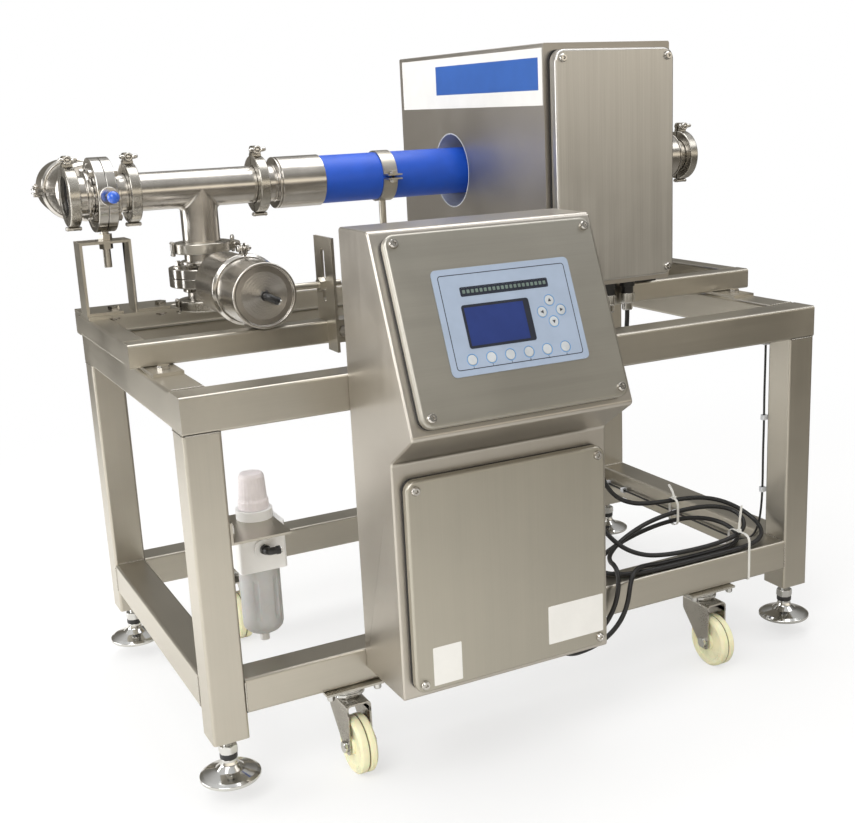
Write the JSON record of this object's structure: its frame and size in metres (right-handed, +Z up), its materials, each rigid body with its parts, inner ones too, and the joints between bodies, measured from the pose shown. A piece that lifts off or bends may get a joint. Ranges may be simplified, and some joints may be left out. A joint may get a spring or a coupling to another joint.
{
  "type": "pipeline metal detector",
  "caption": "Pipeline metal detector: a box-shaped detecting head around a product pipe with inlet and reject butterfly valves, and a sloped control cabinet, on a wheeled frame",
  "frame": {"origin": "bottom centre of the bounding box, on the floor under the wheels, measured without the cables and their ties", "axes": "X along the product pipe from inlet to outlet, Y from the control panel to the back, Z up"},
  "size_m": [1.4098, 1.175, 1.181],
  "materials": {
    "stainless": "brushed",
    "polished": "polished",
    "blue_pipe": "matte",
    "liner": "matte",
    "black_rubber": "matte",
    "black_plastic": "matte",
    "grey_plastic": "satin",
    "nylon": "satin",
    "zinc": "zinc plated",
    "membrane": "matte",
    "key_blue": "matte",
    "window": "clear",
    "board": "matte"
  },
  "bodies": {
    "machine": {"base_legs": "stainless", "base_rails": "stainless", "subframe": "stainless", "caster_plates": "zinc", "ferrules": "polished", "tee": "polished", "product_pipe": "blue_pipe", "clamp_bands": "polished", "clamp_bolts": "polished", "valve_bodies": "polished", "seals": "black_rubber", "actuator_housings": "polished", "actuator_clamps": "polished", "frame_bolts": "zinc", "support_brackets": "stainless", "cover_screws": "zinc", "head_shell": "stainless", "head_liner": "liner", "head_coils": "board", "head_cover": "stainless", "signal_plugs": "zinc", "cabinet_shell": "stainless", "upper_door": "stainless", "lower_door": "stainless", "membrane_panel": "membrane", "display_windows": "window", "control_boards": "board", "filter_body": "grey_plastic", "filter_bowl": "grey_plastic", "air_fittings": "black_plastic", "cables": "black_rubber", "cable_ties": "grey_plastic"},
    "foot_front_left": {"foot_front_left": "zinc"},
    "foot_front_right": {"foot_front_right": "zinc"},
    "foot_rear_left": {"foot_rear_left": "zinc"},
    "foot_rear_right": {"foot_rear_right": "zinc"},
    "fork_front_left": {"caster_fork_front_left": "zinc"},
    "wheel_front_left": {"caster_wheel_front_left": "nylon"},
    "fork_front_right": {"caster_fork_front_right": "zinc"},
    "wheel_front_right": {"caster_wheel_front_right": "nylon"},
    "fork_rear_left": {"caster_fork_rear_left": "zinc"},
    "wheel_rear_left": {"caster_wheel_rear_left": "nylon"},
    "fork_rear_right": {"caster_fork_rear_right": "zinc"},
    "wheel_rear_right": {"caster_wheel_rear_right": "nylon"},
    "key_left": {"key_left": "key_blue"},
    "key_right": {"key_right": "key_blue"},
    "key_up": {"key_up": "key_blue"},
    "key_down": {"key_down": "key_blue"},
    "key_1": {"key_1": "key_blue"},
    "key_2": {"key_2": "key_blue"},
    "key_3": {"key_3": "key_blue"},
    "key_4": {"key_4": "key_blue"},
    "key_5": {"key_5": "key_blue"},
    "key_6": {"key_6": "key_blue"},
    "main_disc": {"main_valve_disc": "polished"},
    "reject_disc": {"reject_valve_disc": "polished"},
    "main_piston": {"main_piston": "black_plastic"},
    "reject_piston": {"reject_piston": "black_plastic"},
    "regulator_knob": {"regulator_knob": "grey_plastic"},
    "filter_drain": {"filter_drain": "black_plastic"}
  },
  "joints": [
    {"name": "foot_front_left_screw", "type": "slide", "parent": "machine", "child": "foot_front_left", "axis": [0, 0, 1], "range_m": [-0.036, 0.01]},
    {"name": "foot_front_right_screw", "type": "slide", "parent": "machine", "child": "foot_front_right", "axis": [0, 0, 1], "range_m": [-0.036, 0.01]},
    {"name": "foot_rear_left_screw", "type": "slide", "parent": "machine", "child": "foot_rear_left", "axis": [0, 0, 1], "range_m": [-0.036, 0.01]},
    {"name": "foot_rear_right_screw", "type": "slide", "parent": "machine", "child": "foot_rear_right", "axis": [0, 0, 1], "range_m": [-0.036, 0.01]},
    {"name": "swivel_front_left", "type": "hinge", "parent": "machine", "child": "fork_front_left", "pos_m": [-0.4199, -0.3145, 0.13], "axis": [0, 0, 1], "continuous": true},
    {"name": "roll_front_left", "type": "hinge", "parent": "fork_front_left", "child": "wheel_front_left", "pos_m": [-0.4199, -0.3525, 0.05], "axis": [1, 0, 0], "continuous": true},
    {"name": "swivel_front_right", "type": "hinge", "parent": "machine", "child": "fork_front_right", "pos_m": [0.3321, -0.3145, 0.13], "axis": [0, 0, 1], "continuous": true},
    {"name": "roll_front_right", "type": "hinge", "parent": "fork_front_right", "child": "wheel_front_right", "pos_m": [0.3321, -0.3525, 0.05], "axis": [1, 0, 0], "continuous": true},
    {"name": "swivel_rear_left", "type": "hinge", "parent": "machine", "child": "fork_rear_left", "pos_m": [-0.4199, 0.3255, 0.13], "axis": [0, 0, 1], "continuous": true},
    {"name": "roll_rear_left", "type": "hinge", "parent": "fork_rear_left", "child": "wheel_rear_left", "pos_m": [-0.4199, 0.2875, 0.05], "axis": [1, 0, 0], "continuous": true},
    {"name": "swivel_rear_right", "type": "hinge", "parent": "machine", "child": "fork_rear_right", "pos_m": [0.3321, 0.3255, 0.13], "axis": [0, 0, 1], "continuous": true},
    {"name": "roll_rear_right", "type": "hinge", "parent": "fork_rear_right", "child": "wheel_rear_right", "pos_m": [0.3321, 0.2875, 0.05], "axis": [1, 0, 0], "continuous": true},
    {"name": "press_left", "type": "slide", "parent": "machine", "child": "key_left", "axis": [0, 0.9247, -0.3808], "range_m": [0, 0.0005], "stiffness_N_per_m": 1500},
    {"name": "press_right", "type": "slide", "parent": "machine", "child": "key_right", "axis": [0, 0.9247, -0.3808], "range_m": [0, 0.0005], "stiffness_N_per_m": 1500},
    {"name": "press_up", "type": "slide", "parent": "machine", "child": "key_up", "axis": [0, 0.9247, -0.3808], "range_m": [0, 0.0005], "stiffness_N_per_m": 1500},
    {"name": "press_down", "type": "slide", "parent": "machine", "child": "key_down", "axis": [0, 0.9247, -0.3808], "range_m": [0, 0.0005], "stiffness_N_per_m": 1500},
    {"name": "press_1", "type": "slide", "parent": "machine", "child": "key_1", "axis": [0, 0.9247, -0.3808], "range_m": [0, 0.0005], "stiffness_N_per_m": 1500},
    {"name": "press_2", "type": "slide", "parent": "machine", "child": "key_2", "axis": [0, 0.9247, -0.3808], "range_m": [0, 0.0005], "stiffness_N_per_m": 1500},
    {"name": "press_3", "type": "slide", "parent": "machine", "child": "key_3", "axis": [0, 0.9247, -0.3808], "range_m": [0, 0.0005], "stiffness_N_per_m": 1500},
    {"name": "press_4", "type": "slide", "parent": "machine", "child": "key_4", "axis": [0, 0.9247, -0.3808], "range_m": [0, 0.0005], "stiffness_N_per_m": 1500},
    {"name": "press_5", "type": "slide", "parent": "machine", "child": "key_5", "axis": [0, 0.9247, -0.3808], "range_m": [0, 0.0005], "stiffness_N_per_m": 1500},
    {"name": "press_6", "type": "slide", "parent": "machine", "child": "key_6", "axis": [0, 0.9247, -0.3808], "range_m": [0, 0.0005], "stiffness_N_per_m": 1500},
    {"name": "main_valve_turn", "type": "hinge", "parent": "machine", "child": "main_disc", "pos_m": [-0.6249, 0.2175, 0.948], "axis": [0, 1, 0], "range_deg": [0, 90]},
    {"name": "reject_valve_turn", "type": "hinge", "parent": "machine", "child": "reject_disc", "pos_m": [-0.4459, 0.2175, 0.784], "axis": [0, -1, 0], "range_deg": [0, 90]},
    {"name": "main_piston_slide", "type": "slide", "parent": "machine", "child": "main_piston", "axis": [0, 1, 0], "range_m": [0, 0.04]},
    {"name": "reject_piston_slide", "type": "slide", "parent": "machine", "child": "reject_piston", "axis": [0, -1, 0], "range_m": [0, 0.04]},
    {"name": "regulator_turn", "type": "hinge", "parent": "machine", "child": "regulator_knob", "pos_m": [-0.5299, -0.2365, 0.48], "axis": [0, 0, 1], "range_deg": [-360, 360]},
    {"name": "drain_turn", "type": "hinge", "parent": "machine", "child": "filter_drain", "pos_m": [-0.5299, -0.2365, 0.235], "axis": [0, 0, 1], "range_deg": [0, 90]}
  ],
  "couplings": [
    {"joint": "main_piston_slide", "follows": "main_valve_turn", "m_per_rad": 0.025401},
    {"joint": "reject_piston_slide", "follows": "reject_valve_turn", "m_per_rad": 0.025401}
  ]
}
